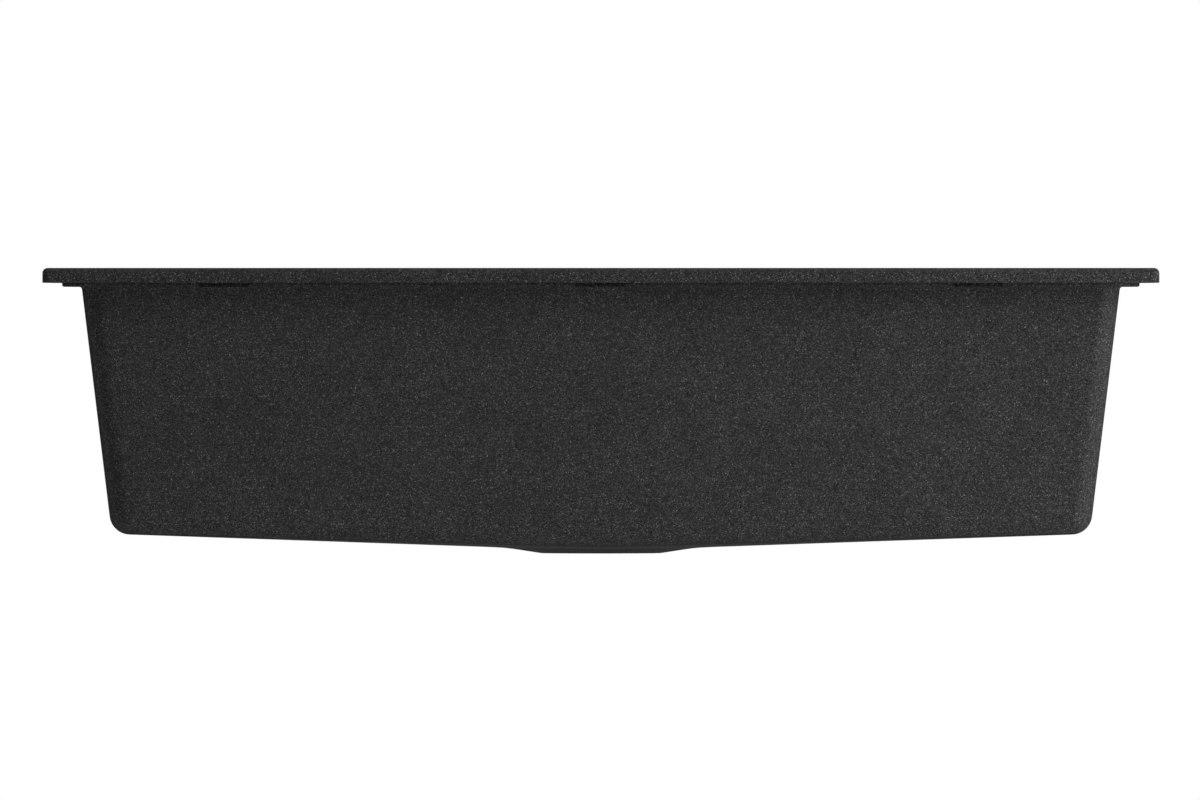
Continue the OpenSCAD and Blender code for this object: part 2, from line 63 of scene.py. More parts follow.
tap_radius, tap_y, tap_edge, tap_cut_low, tap_cut_high = 0.0175, 0.2319, 0.0008, -0.01, 0.02


def turn(steps, first, last):
    """Cosine and sine of evenly spaced angles, in degrees."""
    angles = [math.radians(first + (last - first) * i / steps) for i in range(steps + 1)]
    return [(math.cos(a), math.sin(a)) for a in angles]


def way_round(corner_steps, long_steps, end_steps):
    """Places round a rounded rectangle: shares of its straight sides, then the corner's direction."""
    def corner(side_x, side_y, start):
        return [(side_x, side_y, c, s) for c, s in turn(corner_steps, start, start + 90)]

    def shares(steps):
        return [-1 + 2 * i / steps for i in range(1, steps)]

    return (
        corner(1, -1, -90)
        + [(1, t, 1, 0) for t in shares(end_steps)]
        + corner(1, 1, 0)
        + [(-t, 1, 0, 1) for t in shares(long_steps)]
        + corner(-1, 1, 90)
        + [(-1, -t, -1, 0) for t in shares(end_steps)]
        + corner(-1, -1, 180)
        + [(t, -1, 0, -1) for t in shares(long_steps)]
    )


body_way = way_round(10, 48, 30)


def ring(way, half_x, half_y, corner, z, middle=(0, bowl_y)):
    """A level rounded rectangle."""
    return [
        Vector((
            middle[0] + sx * (half_x - corner) + cx * corner,
            middle[1] + sy * (half_y - corner) + cy * corner,
            z,
        ))
        for sx, sy, cx, cy in way
    ]


def rim_ring(inset, corner, z):
    return ring(body_way, rim_half_x - inset, rim_half_y - inset, corner, z, (0, 0))


def wall_ring(z, spread=0.0):
    """A ring of the outer wall, which leans in as it goes down."""
    lean = z * math.tan(wall_draft) + spread
    return ring(body_way, wall_half_x + lean, wall_half_y + lean, wall_corner + spread, z)


def opening_ring(spread, z):
    return ring(
        body_way, opening_half_x + spread, opening_half_y + spread, inner_corner + spread, z
    )


def ledge_ring(spread, z):
    return ring(body_way, ledge_half_x + spread, ledge_half_y + spread, inner_corner + spread, z)


def fillet_ring(angle, half_x, half_y, slope_x, slope_y, radius, corner, edge_z):
    """A ring of the bend between the walls and the floor, whose edge dips towards mid-length."""
    points = []
    for sx, sy, cx, cy in body_way:
        dip = edge_dip * (1 - math.hypot(sx, dip_blend))
        draw_x = radius * (math.hypot(1, slope_x) - math.cos(angle)) - (radius - dip) * slope_x
        draw_y = radius * (math.hypot(1, slope_y) - math.cos(angle)) - (radius - dip) * slope_y
        bend = corner - radius * (1 - math.cos(angle))
        points.append(Vector((
            sx * (half_x - draw_x - bend) + cx * bend,
            bowl_y + sy * (half_y - draw_y - bend) + cy * bend,
            edge_z - dip + radius * (1 - math.sin(angle)),
        )))
    return points


def floor_ring(edge, centre_z, radius=None, share=None):
    """A ring of the ruled floor: a circle round the drain, or a share of the way in to the throat."""
    points = []
    for p in edge:
        reach = math.hypot(p.x, p.y - bowl_y)
        r = radius if share is None else reach + (throat_radius - reach) * share
        z = centre_z + (p.z - centre_z) * (r - throat_radius) / (reach - throat_radius)
        points.append(Vector((p.x * r / reach, bowl_y + (p.y - bowl_y) * r / reach, z)))
    return points


def drain_ring(edge, radius, z):
    return [Vector((p.x, p.y, z)) for p in floor_ring(edge, 0, radius=radius)]


def skin(rings, closed=False):
    """Four-sided faces through rings of equal length, from each one to the next."""
    count = len(rings[0])
    pairs = [(i, (i + 1) % len(rings)) for i in range(len(rings) if closed else len(rings) - 1)]
    faces = [
        (a * count + j, a * count + (j + 1) % count, b * count + (j + 1) % count, b * count + j)
        for a, b in pairs
        for j in range(count)
    ]
    return [p for r in rings for p in r], faces


draft_slope = math.tan(wall_draft)
wall_steps = (-0.045, -0.09, -0.135)
wall_rings = [wall_ring(z) for z in wall_steps]
outer_fillet = [
    fillet_ring(
        wall_draft + (math.pi / 2 - wall_draft) * i / 8,
        wall_half_x - end_depth * draft_slope,
        wall_half_y - end_depth * draft_slope,
        draft_slope, draft_slope, wall_fillet, wall_corner, -end_depth,
    )
    for i in range(9)
]
outer_edge = outer_fillet[-1]
end_floor_x = (
    wall_half_x - (end_depth - wall_fillet) * draft_slope - wall_fillet / math.cos(wall_draft)
)
throat_z = -end_depth - (end_floor_x - throat_radius) * math.tan(floor_slope)
outlet_z = throat_z - boss_drop
recess_z = outlet_z + drain_wall
boss_radii = (0.096, 0.086, 0.080, 0.076, 0.0735, 0.0715, 0.0695, 0.067, 0.063, 0.055, boss_radius)


def boss_ring(radius):
    """A circle where the floor's underside runs softly into the cone of the boss."""
    cone_z = outlet_z + (radius - boss_radius) * math.tan(boss_slope)
    points = floor_ring(outer_edge, throat_z, radius=radius)
    for p in points:
        blended = (p.z + cone_z - math.hypot(p.z - cone_z, boss_blend)) / 2
        p.z = max(blended, outlet_z)
    return points


foot_z = wall_thickness - end_depth
foot_half_x = wall_half_x + foot_z * draft_slope - wall_thickness
foot_half_y = wall_half_y + foot_z * draft_slope - wall_thickness
inner_slope_x = (ledge_half_x - foot_half_x) / (ledge_z - foot_z)
inner_slope_y = (ledge_half_y - foot_half_y) / (ledge_z - foot_z)
inner_start = math.atan(inner_slope_y)
inner_bend = [
    fillet_ring(
        math.pi / 2 + (inner_start - math.pi / 2) * i / 8,
        foot_half_x, foot_half_y, inner_slope_x, inner_slope_y, inner_fillet, inner_corner, foot_z,
    )
    for i in range(9)
]
inner_edge = inner_bend[0]
inner_centre_z = throat_z + wall_thickness


def inner_wall_ring(z):
    half_x = foot_half_x + (z - foot_z) * inner_slope_x
    half_y = foot_half_y + (z - foot_z) * inner_slope_y
    return ring(body_way, half_x, half_y, inner_corner, z)


body_rings = [
    rim_ring(rim_edge * (1 - c), rim_corner - rim_edge * (1 - c), rim_height - rim_edge * (1 - s))
    for c, s in turn(6, 90, 0)
]
body_rings += [
    rim_ring(rim_foot_edge * (1 - c), rim_corner, rim_foot_edge * (1 - s)) for c, s in turn(3, 0, 90)
]
body_rings += [rim_ring(step_inset, step_corner, 0)]
body_rings += [
    rim_ring(
        step_inset + step_edge * (1 - c), step_corner - step_edge * (1 - c),
        step_edge * (1 - s) - step_height,
    )
    for c, s in turn(4, 0, 90)
]
body_rings += [
    wall_ring(wall_root * (s - 1) - step_height, wall_root * (1 + c)) for c, s in turn(4, 90, 180)
]
body_rings += wall_rings + outer_fillet
body_rings += [floor_ring(outer_edge, throat_z, share=t) for t in (0.12, 0.3, 0.5)]
body_rings += [boss_ring(r) for r in boss_radii]
body_rings += [drain_ring(outer_edge, drain_radius, outlet_z)]
body_rings += [
    drain_ring(outer_edge, drain_radius + drain_edge * (1 + c), recess_z - drain_edge * (1 - s))
    for c, s in turn(3, 180, 110)
]
body_rings += [drain_ring(inner_edge, recess_radius, recess_z + recess_fall)]
body_rings += [
    drain_ring(
        inner_edge, recess_radius + recess_edge * (1 + c), inner_centre_z - recess_edge * (1 - s)
    )
    for c, s in turn(3, 180, 95)
]
body_rings += [floor_ring(inner_edge, inner_centre_z, radius=throat_radius + throat_margin)]
body_rings += [floor_ring(inner_edge, inner_centre_z, share=t) for t in (0.8, 0.6, 0.4, 0.2)]
body_rings += inner_bend
body_rings += [inner_wall_ring(z) for z in reversed(wall_steps)]
body_rings += [
    ledge_ring(ledge_edge * (1 + c), ledge_z - ledge_edge * (1 - s)) for c, s in turn(3, 180, 90)
]
body_rings += [
    opening_ring(-ledge_root * (1 - c), ledge_z + ledge_root * (1 + s)) for c, s in turn(3, -90, 0)
]
body_rings += [
    opening_ring(opening_edge * (1 + c), rim_height - opening_edge * (1 - s))
    for c, s in turn(6, 180, 90)
]


def new_mesh(name, shapes):
    """One mesh from several (points, faces) shapes, with its faces turned outward."""
    points, faces = [], []
    for shape_points, shape_faces in shapes:
        start = len(points)
        points += [tuple(p) for p in shape_points]
        faces += [tuple(start + i for i in face) for face in shape_faces]
    mesh = bpy.data.meshes.new(name)
    mesh.from_pydata(points, [], faces)
    mesh.validate()
    made = bmesh.new()
    made.from_mesh(mesh)
    bmesh.ops.recalc_face_normals(made, faces=made.faces)
    made.to_mesh(mesh)
    made.free()
    return mesh


def new_object(name, mesh):
    made = bpy.data.objects.new(name, mesh)
    bpy.context.scene.collection.objects.link(made)
    return made


def cut(piece, shapes):
    """Takes closed shapes out of a piece."""
    cutter = new_object("cutter", new_mesh("cutter", shapes))
    carve = piece.modifiers.new("cut", "BOOLEAN")
    carve.operation = "DIFFERENCE"
    carve.solver = "EXACT"
    carve.object = cutter
    bpy.context.view_layer.update()
    evaluated = piece.evaluated_get(bpy.context.evaluated_depsgraph_get())
    carved = bpy.data.meshes.new_from_object(evaluated)
    piece.modifiers.clear()
    piece.data = carved
    bpy.data.objects.remove(cutter)


def finish_piece(piece, material, body, slot, *nodes):
    """Shades a piece, hangs it on the body that carries it and hides the CAD nodes that it stands for.
    Its slot, the name of its finish, is not used.
    """
    piece.data.materials.clear()
    piece.data.materials.append(material)
    piece.data.polygons.foreach_set("use_smooth", [True] * len(piece.data.polygons))
    piece.data.set_sharp_from_angle(angle=math.radians(38))
    weighted = piece.modifiers.new("flat faces stay flat", "WEIGHTED_NORMAL")
    weighted.keep_sharp = True
    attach(piece, body)
    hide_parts(*nodes)


def lathe(profile, steps, place=Matrix.Identity(4)):
    """A turned form. The profile goes from axis to axis, or round in a loop, as (radius, height)."""
    points, faces, starts = [], [], []
    for radius, height in profile:
        starts.append(len(points))
        for c, s in turn(steps, 0, 360)[:-1] if radius > 0 else [(0, 0)]:
            points.append(place @ Vector((radius * c, radius * s, height)))
    loop = profile[0][0] > 0
    for i in range(len(profile) if loop else len(profile) - 1):
        a, b = i, (i + 1) % len(profile)
        for j in range(steps):
            k = (j + 1) % steps
            if profile[a][0] == 0:
                faces.append((starts[a], starts[b] + k, starts[b] + j))
            elif profile[b][0] == 0:
                faces.append((starts[a] + j, starts[a] + k, starts[b]))
            else:
                faces.append((starts[a] + j, starts[a] + k, starts[b] + k, starts[b] + j))
    return points, faces


def prism(outline, low, high, place=Matrix.Identity(4)):
    """An outline in Y and Z, drawn out along X."""
    count = len(outline)
    points = [place @ Vector((x, y, z)) for x in (low, high) for y, z in outline]
    faces = [(j, (j + 1) % count, count + (j + 1) % count, count + j) for j in range(count)]
    faces += [tuple(range(count)), tuple(reversed(range(count, 2 * count)))]
    return points, faces


# The tap hole has a soft upper edge, and each clip pocket is a slope with a slot at each end.
tap_place = Matrix.Translation((0, tap_y, 0))
tap_profile = [(0, tap_cut_low), (tap_radius, tap_cut_low)]
tap_profile += [
    (tap_radius + tap_edge * (1 + c), rim_height - tap_edge * (1 - s)) for c, s in turn(4, 180, 95)
]
tap_profile += [(tap_radius + 2 * tap_edge, tap_cut_high), (0, tap_cut_high)]
pocket_half, pocket_depth, pocket_foot_depth, pocket_roof = 0.01875, 0.0017, 0.0007, 0.0003
slot_width, slot_depth, cut_past = 0.002, 0.006, 0.001
face_x, face_y = rim_half_x - step_inset, rim_half_y - step_inset
long_side_xs, end_ys = (-0.283, 0, 0.283), (-0.125, 0.125)
pocket_places = []
for half_turn in (0, math.pi):
    side = Matrix.Rotation(half_turn, 4, "Z")
    pocket_places += [side @ Matrix.Translation((x, -face_y, 0)) for x in long_side_xs]
    pocket_places += [
        side @ Matrix.Translation((-face_x, y, 0)) @ Matrix.Rotation(-math.pi / 2, 4, "Z")
        for y in end_ys
    ]
pocket_slope = (pocket_depth - pocket_foot_depth) / (step_height - pocket_roof)
cut_end = -step_height - cut_past
slope_end = pocket_foot_depth - cut_past * pocket_slope
wedge = [
    (pocket_depth, -pocket_roof), (-cut_past, -pocket_roof), (-cut_past, cut_end), (slope_end, cut_end),
]
slot = [(slot_depth, 0), (-cut_past, 0), (-cut_past, cut_end), (slot_depth, cut_end)]
wedges = [prism(wedge, -pocket_half, pocket_half, place) for place in pocket_places]
slots = [
    prism(slot, x, x + slot_width, place)
    for place in pocket_places
    for x in (-pocket_half, pocket_half - slot_width)
]
moulded_body = new_object("moulded_body", new_mesh("moulded_body", [skin(body_rings, closed=True)]))
cut(moulded_body, [lathe(tap_profile, 64, tap_place)] + wedges)
cut(moulded_body, slots)


def add_node(tree, kind, inputs=None, **settings):
    """A shader node with its settings, whose inputs are filled with values or joined to outputs."""
    made = tree.nodes.new(kind)
    for name, value in settings.items():
        setattr(made, name, value)
    for name, value in (inputs or {}).items():
        if isinstance(value, bpy.types.NodeSocket):
            tree.links.new(value, made.inputs[name])
        else:
            made.inputs[name].default_value = value
    return made


def math_of(tree, operation, a, b=0.0, c=0.0):
    node = add_node(tree, "ShaderNodeMath", {0: a, 1: b, 2: c}, operation=operation)
    return node.outputs[0]


def mix_of(tree, share, a, b, blend="MIX"):
    """A mix of two colours."""
    node = add_node(
        tree, "ShaderNodeMix", {0: share, 6: a, 7: b}, data_type="RGBA", blend_type=blend
    )
    return node.outputs[2]


def grey_of(tree, value):
    """A grey as bright as a number."""
    return add_node(tree, "ShaderNodeCombineColor", {0: value, 1: value, 2: value}).outputs[0]


def range_of(tree, value, low, high, to_low=0.0, to_high=1.0):
    inputs = {0: value, 1: low, 2: high, 3: to_low, 4: to_high}
    return add_node(tree, "ShaderNodeMapRange", inputs).outputs[0]


def stretched(tree, vector, scale):
    inputs = {0: vector, 1: scale}
    return add_node(tree, "ShaderNodeVectorMath", inputs, operation="MULTIPLY").outputs[0]


def noise_of(tree, vector, scale, detail=2.0, roughness=0.5):
    inputs = {"Vector": vector, "Scale": scale, "Detail": detail, "Roughness": roughness}
    return add_node(tree, "ShaderNodeTexNoise", inputs).outputs["Fac"]


def new_group(name, inputs, outputs):
    """An empty group with named sockets, given as the group, its input sockets and its output node."""
    kinds = {"vector": "NodeSocketVector", "number": "NodeSocketFloat", "colour": "NodeSocketColor"}
    group = bpy.data.node_groups.new(name, "ShaderNodeTree")
    for title, kind, value in inputs:
        socket = group.interface.new_socket(name=title, in_out="INPUT", socket_type=kinds[kind])
        if value is not None:
            socket.default_value = value
    for title, kind in outputs:
        group.interface.new_socket(name=title, in_out="OUTPUT", socket_type=kinds[kind])
    return group, group.nodes.new("NodeGroupInput").outputs, group.nodes.new("NodeGroupOutput")


def use_group(tree, group, inputs):
    node = add_node(tree, "ShaderNodeGroup", node_tree=group)
    for name, value in inputs.items():
        if isinstance(value, bpy.types.NodeSocket):
            tree.links.new(value, node.inputs[name])
        else:
            node.inputs[name].default_value = value
    return node.outputs


def new_material(name, roughness, specular=0.5, metallic=0.0):
    """A material and its Principled shader, with the values that are the same all over."""
    material = bpy.data.materials.new(name)
    material.use_nodes = True
    shader = material.node_tree.nodes["Principled BSDF"]
    shader.inputs["Roughness"].default_value = roughness
    shader.inputs["Specular IOR Level"].default_value = specular
    shader.inputs["Metallic"].default_value = metallic
    return material, material.node_tree, shader


def place_of(tree):
    """The place on the object in metres, the same for every piece."""
    return add_node(tree, "ShaderNodeTexCoord").outputs["Object"]


def raise_surface(tree, shader, height, distance, strength=1.0):
    inputs = {"Height": height, "Distance": distance, "Strength": strength}
    bump = add_node(tree, "ShaderNodeBump", inputs)
    tree.links.new(bump.outputs["Normal"], shader.inputs["Normal"])


# Sand of several tones that shows through the skin of the resin, with a few light flecks in it
sand, sand_in, sand_out = new_group(
    "Sand in resin",
    [
        ("Vector", "vector", None), ("Grains per metre", "number", 900.0),
        ("Resin", "colour", (0.01, 0.01, 0.01, 1)), ("Grain", "colour", (0.05, 0.05, 0.05, 1)),
        ("Fleck", "colour", (0.2, 0.2, 0.2, 1)), ("Fleck share", "number", 0.02),
    ],
    [("Color", "colour"), ("Height", "number")],
)
cells = add_node(
    sand, "ShaderNodeTexVoronoi",
    {"Vector": sand_in["Vector"], "Scale": sand_in["Grains per metre"]},
)
cell_values = add_node(sand, "ShaderNodeSeparateColor", {0: cells.outputs["Color"]}).outputs
grain_tone = math_of(sand, "POWER", cell_values[0], 3.5)
fleck_start = math_of(sand, "SUBTRACT", 1.0, sand_in["Fleck share"])
is_fleck = math_of(sand, "GREATER_THAN", cell_values[1], fleck_start)
fleck_round = range_of(sand, cells.outputs["Distance"], 0.62, 0.35)
fleck_mask = math_of(sand, "MULTIPLY", is_fleck, fleck_round)
grains = mix_of(sand, grain_tone, sand_in["Resin"], sand_in["Grain"])
sand.links.new(mix_of(sand, fleck_mask, grains, sand_in["Fleck"]), sand_out.inputs["Color"])
grain_top = range_of(sand, cells.outputs["Distance"], 0.8, 0.0)
sand.links.new(math_of(sand, "MULTIPLY", grain_top, cell_values[2]), sand_out.inputs["Height"])

quartz, tree, shader = new_material("Quartz composite", roughness=0.45, specular=0.07)
place = place_of(tree)
coarse = use_group(tree, sand, {
    "Vector": place, "Grains per metre": 1450.0, "Resin": (0.0060, 0.0060, 0.0062, 1),
    "Grain": (0.106, 0.106, 0.105, 1), "Fleck": (0.44, 0.44, 0.43, 1), "Fleck share": 0.022,
})
fine = use_group(tree, sand, {
    "Vector": place, "Grains per metre": 2900.0, "Resin": (0.0048, 0.0048, 0.0050, 1),
    "Grain": (0.106, 0.106, 0.106, 1), "Fleck": (0.44, 0.44, 0.44, 1), "Fleck share": 0.03,
})
mottle = range_of(tree, noise_of(tree, place, 26.0, detail=3.0), 0.3, 0.7, 0.83, 0.98)
both = mix_of(tree, 0.53, coarse["Color"], fine["Color"])
toned = mix_of(tree, 1.0, both, grey_of(tree, mottle), "MULTIPLY")
# Faces that look down fade to a plain, darker colour: painted shade on the underside, which also
# flattens the grains there.
facing = add_node(tree, "ShaderNodeTexCoord").outputs["Normal"]
upward = add_node(tree, "ShaderNodeSeparateXYZ", {0: facing}).outputs[2]
underside = range_of(tree, upward, -0.90, -0.98)
painted_underside_shade = math_of(tree, "MULTIPLY", underside, 0.85)
tree.links.new(
    mix_of(tree, painted_underside_shade, toned, (0.0142, 0.0142, 0.0145, 1)), shader.inputs["Base Color"]
)
matt = range_of(tree, noise_of(tree, place, 340.0), 0.3, 0.7, 0.38, 0.52)
rough_back = range_of(tree, upward, -0.5, -0.9, 0.0, 0.45)
grazed = add_node(tree, "ShaderNodeLayerWeight", {"Blend": 0.5}).outputs["Facing"]
rough_rim = range_of(tree, grazed, 0.3, 0.7, 0.0, 0.6)
rougher = math_of(tree, "MAXIMUM", rough_back, rough_rim)
tree.links.new(math_of(tree, "ADD", matt, rougher), shader.inputs["Roughness"])
grit = math_of(tree, "MULTIPLY_ADD", fine["Height"], 0.5, coarse["Height"])
raise_surface(tree, shader, grit, distance=0.00012)
finish_piece(moulded_body, quartz, "sink", "composite", "sink_body")

# Cutting board
# Staves of oiled hardwood, 50 mm wide, glued edge to edge and planed to 17 mm, with rounded edges and a
# juice groove milled round the top. The board's front and rear edges lie over the ledges.
board_low, board_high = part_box("cutting_board")
board_middle = ((board_low.x + board_high.x) / 2, bowl_y)
board_half_x, board_half_y = (board_high.x - board_low.x) / 2, (board_high.y - board_low.y) / 2
board_corner, board_edge = 0.018, 0.0025
groove_inset, groove_half, groove_depth, groove_lip = 0.022, 0.0045, 0.003, 0.0007
groove_radius = (groove_half ** 2 + groove_depth ** 2) / (2 * groove_depth)
groove_spread = math.degrees(math.asin(groove_half / groove_radius))
board_way = way_round(12, 20, 28)


def board_ring(inset, z):
    return ring(
        board_way, board_half_x - inset, board_half_y - inset, board_corner - inset, z, board_middle
    )


def groove_ring(spread, z):
    """A ring of the juice groove, at a distance outward from its middle."""
    inset = groove_inset - spread
    return ring(
        board_way, board_half_x - inset, board_half_y - inset, board_corner + spread, z, board_middle
    )


board_rings = [
    board_ring(board_edge * (1 - c), board_low.z + board_edge * (1 - s)) for c, s in turn(5, 90, 0)
]
board_rings += [
    board_ring(board_edge * (1 - c), board_high.z - board_edge * (1 - s)) for c, s in turn(5, 0, 90)
]
board_rings += [groove_ring(groove_half + groove_lip, board_high.z)]
board_rings += [
    groove_ring(groove_radius * s, board_high.z - groove_depth + groove_radius * (1 - c))
    for c, s in turn(8, groove_spread * 0.97, -groove_spread * 0.97)
]
board_rings += [groove_ring(-groove_half - groove_lip, board_high.z)]
board_points, board_faces = skin(board_rings)
way_count = len(board_way)
board_faces += [tuple(range(way_count))]
board_faces += [tuple(range(len(board_points) - way_count, len(board_points)))]
planed_board = new_object("planed_board", new_mesh("planed_board", [(board_points, board_faces)]))
pad_low, pad_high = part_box("board_pads")
pad_radius, pad_play, socket_mouth = 0.0045, 0.0001, -0.004
pad_xs = (pad_low.x + pad_radius, pad_high.x - pad_radius)
pad_ys = (pad_low.y + pad_radius, pad_high.y - pad_radius)
pad_places = [Matrix.Translation((x, y, pad_low.z)) for x in pad_xs for y in pad_ys]
socket_top = pad_high.z - pad_low.z
socket_radius = pad_radius + pad_play
socket_profile = [(0, socket_mouth), (socket_radius, socket_mouth)]
socket_profile += [(socket_radius, socket_top), (0, socket_top)]
cut(planed_board, [lathe(socket_profile, 32, p) for p in pad_places])

wood, wood_in, wood_out = new_group(
    "Glued hardwood staves",
    [
        ("Vector", "vector", None), ("Stave width", "number", 0.05),
        ("Early wood", "colour", (0.5, 0.3, 0.14, 1)), ("Late wood", "colour", (0.2, 0.09, 0.04, 1)),
    ],
    [("Color", "colour"), ("Roughness", "number"), ("Height", "number")],
)
wood_place = add_node(wood, "ShaderNodeSeparateXYZ", {0: wood_in["Vector"]}).outputs
across = math_of(wood, "DIVIDE", wood_place[0], wood_in["Stave width"])
stave = math_of(wood, "FLOOR", across)
stave_values = add_node(wood, "ShaderNodeTexWhiteNoise", {"W": stave}, noise_dimensions="1D")
stave_random = stave_values.outputs["Color"]
stave_share = add_node(wood, "ShaderNodeSeparateColor", {0: stave_random}).outputs[0]
shifted = add_node(wood, "ShaderNodeVectorMath", {
    0: stave_random, 1: (0.9, 3.1, 0.7), 2: wood_in["Vector"],
}, operation="MULTIPLY_ADD").outputs[0]
figure = noise_of(wood, stretched(wood, shifted, (9.0, 1.1, 9.0)), 1.0, detail=2.0)
figure_turns = math_of(wood, "MULTIPLY", figure, 11.0)
years = math_of(wood, "PINGPONG", figure_turns, 0.5)
streaks = noise_of(wood, stretched(wood, shifted, (520.0, 7.0, 520.0)), 1.0, detail=3.0)
pore_noise = noise_of(wood, stretched(wood, shifted, (1500.0, 45.0, 1500.0)), 1.0, detail=1.0)
pores = range_of(wood, pore_noise, 0.60, 0.70)
tone = math_of(wood, "MULTIPLY_ADD", years, 0.9, math_of(wood, "MULTIPLY_ADD", streaks, 0.9, -0.25))
grain = mix_of(wood, tone, wood_in["Early wood"], wood_in["Late wood"])
stave_tone = grey_of(wood, range_of(wood, stave_share, 0.0, 1.0, 0.72, 1.22))
stave_grain = mix_of(wood, 1.0, grain, stave_tone, "MULTIPLY")
joint = math_of(wood, "ABSOLUTE", math_of(wood, "SUBTRACT", math_of(wood, "FRACT", across), 0.5))
glue = range_of(wood, joint, 0.4935, 0.4985)
dark_pores = math_of(wood, "MULTIPLY", pores, 0.55)
dark_glue = math_of(wood, "MULTIPLY", glue, 0.7)
dark = math_of(wood, "MAXIMUM", dark_pores, dark_glue)
wood.links.new(
    mix_of(wood, dark, stave_grain, (0.045, 0.020, 0.010, 1)), wood_out.inputs["Color"]
)
wood.links.new(math_of(wood, "MULTIPLY_ADD", pores, 0.2, 0.48), wood_out.inputs["Roughness"])
raised = math_of(wood, "MULTIPLY", streaks, 0.4)
wood.links.new(math_of(wood, "SUBTRACT", raised, pores), wood_out.inputs["Height"])


def dress(tree, shader, finish, distance):
    """Joins a finish to the shader: its colour, its roughness and its height."""
    tree.links.new(finish["Color"], shader.inputs["Base Color"])
    tree.links.new(finish["Roughness"], shader.inputs["Roughness"])
    raise_surface(tree, shader, finish["Height"], distance)


hardwood, tree, shader = new_material("Oiled hardwood", roughness=0.5, specular=0.2)
staves = use_group(tree, wood, {
    "Vector": place_of(tree), "Stave width": 0.05, "Early wood": (0.46, 0.235, 0.095, 1),
    "Late wood": (0.205, 0.082, 0.030, 1),
})
dress(tree, shader, staves, distance=0.00008)
finish_piece(planed_board, hardwood, "board", "board_wood", "cutting_board")

# Board pads
# Four turned discs of soft black rubber, pressed into blind sockets under the board so that it
# neither slips nor scratches the ledges.
pad_height, pad_edge = pad_high.z - pad_low.z, 0.0007
pad_profile = [(0, 0)]
pad_profile += [(pad_radius - pad_edge * (1 - s), pad_edge * (1 - c)) for c, s in turn(4, 0, 90)]
pad_profile += [(pad_radius, pad_height), (0, pad_height)]
rubber_pads = new_object(
    "rubber_pads", new_mesh("rubber_pads", [lathe(pad_profile, 32, p) for p in pad_places])
)

# Fine mottle of a moulded silicone or rubber surface, with a little dust held in its skin
silicone, silicone_in, silicone_out = new_group(
    "Moulded silicone",
    [
        ("Vector", "vector", None), ("Skin", "colour", (0.03, 0.03, 0.03, 1)),
        ("Bloom", "colour", (0.08, 0.08, 0.08, 1)), ("Speck scale", "number", 1400.0),
    ],
    [("Color", "colour"), ("Roughness", "number"), ("Height", "number")],
)
cloud = noise_of(silicone, silicone_in["Vector"], 130.0, detail=4.0)
speck = noise_of(silicone, silicone_in["Vector"], silicone_in["Speck scale"], detail=1.0)
bloom = math_of(silicone, "MULTIPLY", range_of(silicone, cloud, 0.35, 0.75), speck)
silicone.links.new(
    mix_of(silicone, bloom, silicone_in["Skin"], silicone_in["Bloom"]), silicone_out.inputs["Color"]
)
silicone.links.new(range_of(silicone, cloud, 0.3, 0.7, 0.5, 0.68), silicone_out.inputs["Roughness"])
silicone.links.new(speck, silicone_out.inputs["Height"])


def silicone_material(name, skin_colour, bloom_colour):
    material, tree, shader = new_material(name, roughness=0.6, specular=0.3)
    moulded = use_group(
        tree, silicone, {"Vector": place_of(tree), "Skin": skin_colour, "Bloom": bloom_colour}
    )
    dress(tree, shader, moulded, distance=0.00004)
    return material


pad_rubber = silicone_material("Black rubber", (0.022, 0.022, 0.022, 1), (0.10, 0.10, 0.10, 1))
finish_piece(rubber_pads, pad_rubber, "board", "board_pad_rubber", "board_pads")

# Rack bars
# Thirteen round stainless bars of 6.4 mm, drawn and satin polished along their length, with domed ends
# that are pushed into the two silicone bands.
bars_low, bars_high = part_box("rack_bars")
bar_radius, bar_pitch, bar_count = 0.0032, 0.018, 13
bar_z, bar_half = (bars_low.z + bars_high.z) / 2, (bars_high.y - bars_low.y) / 2
bar_xs = [bars_low.x + bar_radius + i * bar_pitch for i in range(bar_count)]
upright_to_y = Matrix.Rotation(-math.pi / 2, 4, "X")
rod_edge = 0.0008


def rod(radius, half_length, place, steps=20):
    """A straight round wire or bar with rounded ends, along the place's Z."""
    profile = [(0, -half_length)]
    profile += [
        (radius - rod_edge * (1 - s), rod_edge * (1 - c) - half_length) for c, s in turn(3, 0, 90)
    ]
    profile += [
        (radius - rod_edge * (1 - s), half_length - rod_edge * (1 - c)) for c, s in turn(3, 90, 0)
    ]
    profile += [(0, half_length)]
    return lathe(profile, steps, place)


drawn_bars = new_object("drawn_bars", new_mesh("drawn_bars", [
    rod(bar_radius, bar_half, Matrix.Translation((x, bowl_y, bar_z)) @ upright_to_y, 32)
    for x in bar_xs
]))

# Fine lines that drawing or turning leaves in stainless steel, and the faint haze of use over them
steel_lines, steel_in, steel_out = new_group(
    "Lines in steel",
    [
        ("Lines", "vector", None), ("Vector", "vector", None),
        ("Bright", "colour", (0.7, 0.7, 0.7, 1)), ("Dull", "colour", (0.5, 0.5, 0.5, 1)),
        ("Least roughness", "number", 0.2), ("Most roughness", "number", 0.35),
    ],
    [("Color", "colour"), ("Roughness", "number"), ("Height", "number")],
)
line = noise_of(steel_lines, steel_in["Lines"], 1.0, detail=3.0, roughness=0.65)
haze = noise_of(steel_lines, steel_in["Vector"], 40.0, detail=3.0)
faint_haze = math_of(steel_lines, "MULTIPLY", haze, 0.4)
worn_line = math_of(steel_lines, "MULTIPLY_ADD", line, 0.9, faint_haze)
shade = range_of(steel_lines, worn_line, 0.45, 0.85)
steel_lines.links.new(
    mix_of(steel_lines, shade, steel_in["Bright"], steel_in["Dull"]), steel_out.inputs["Color"]
)
rough_range = add_node(steel_lines, "ShaderNodeMapRange", {
    0: shade, 3: steel_in["Least roughness"], 4: steel_in["Most roughness"],
})
steel_lines.links.new(rough_range.outputs[0], steel_out.inputs["Roughness"])
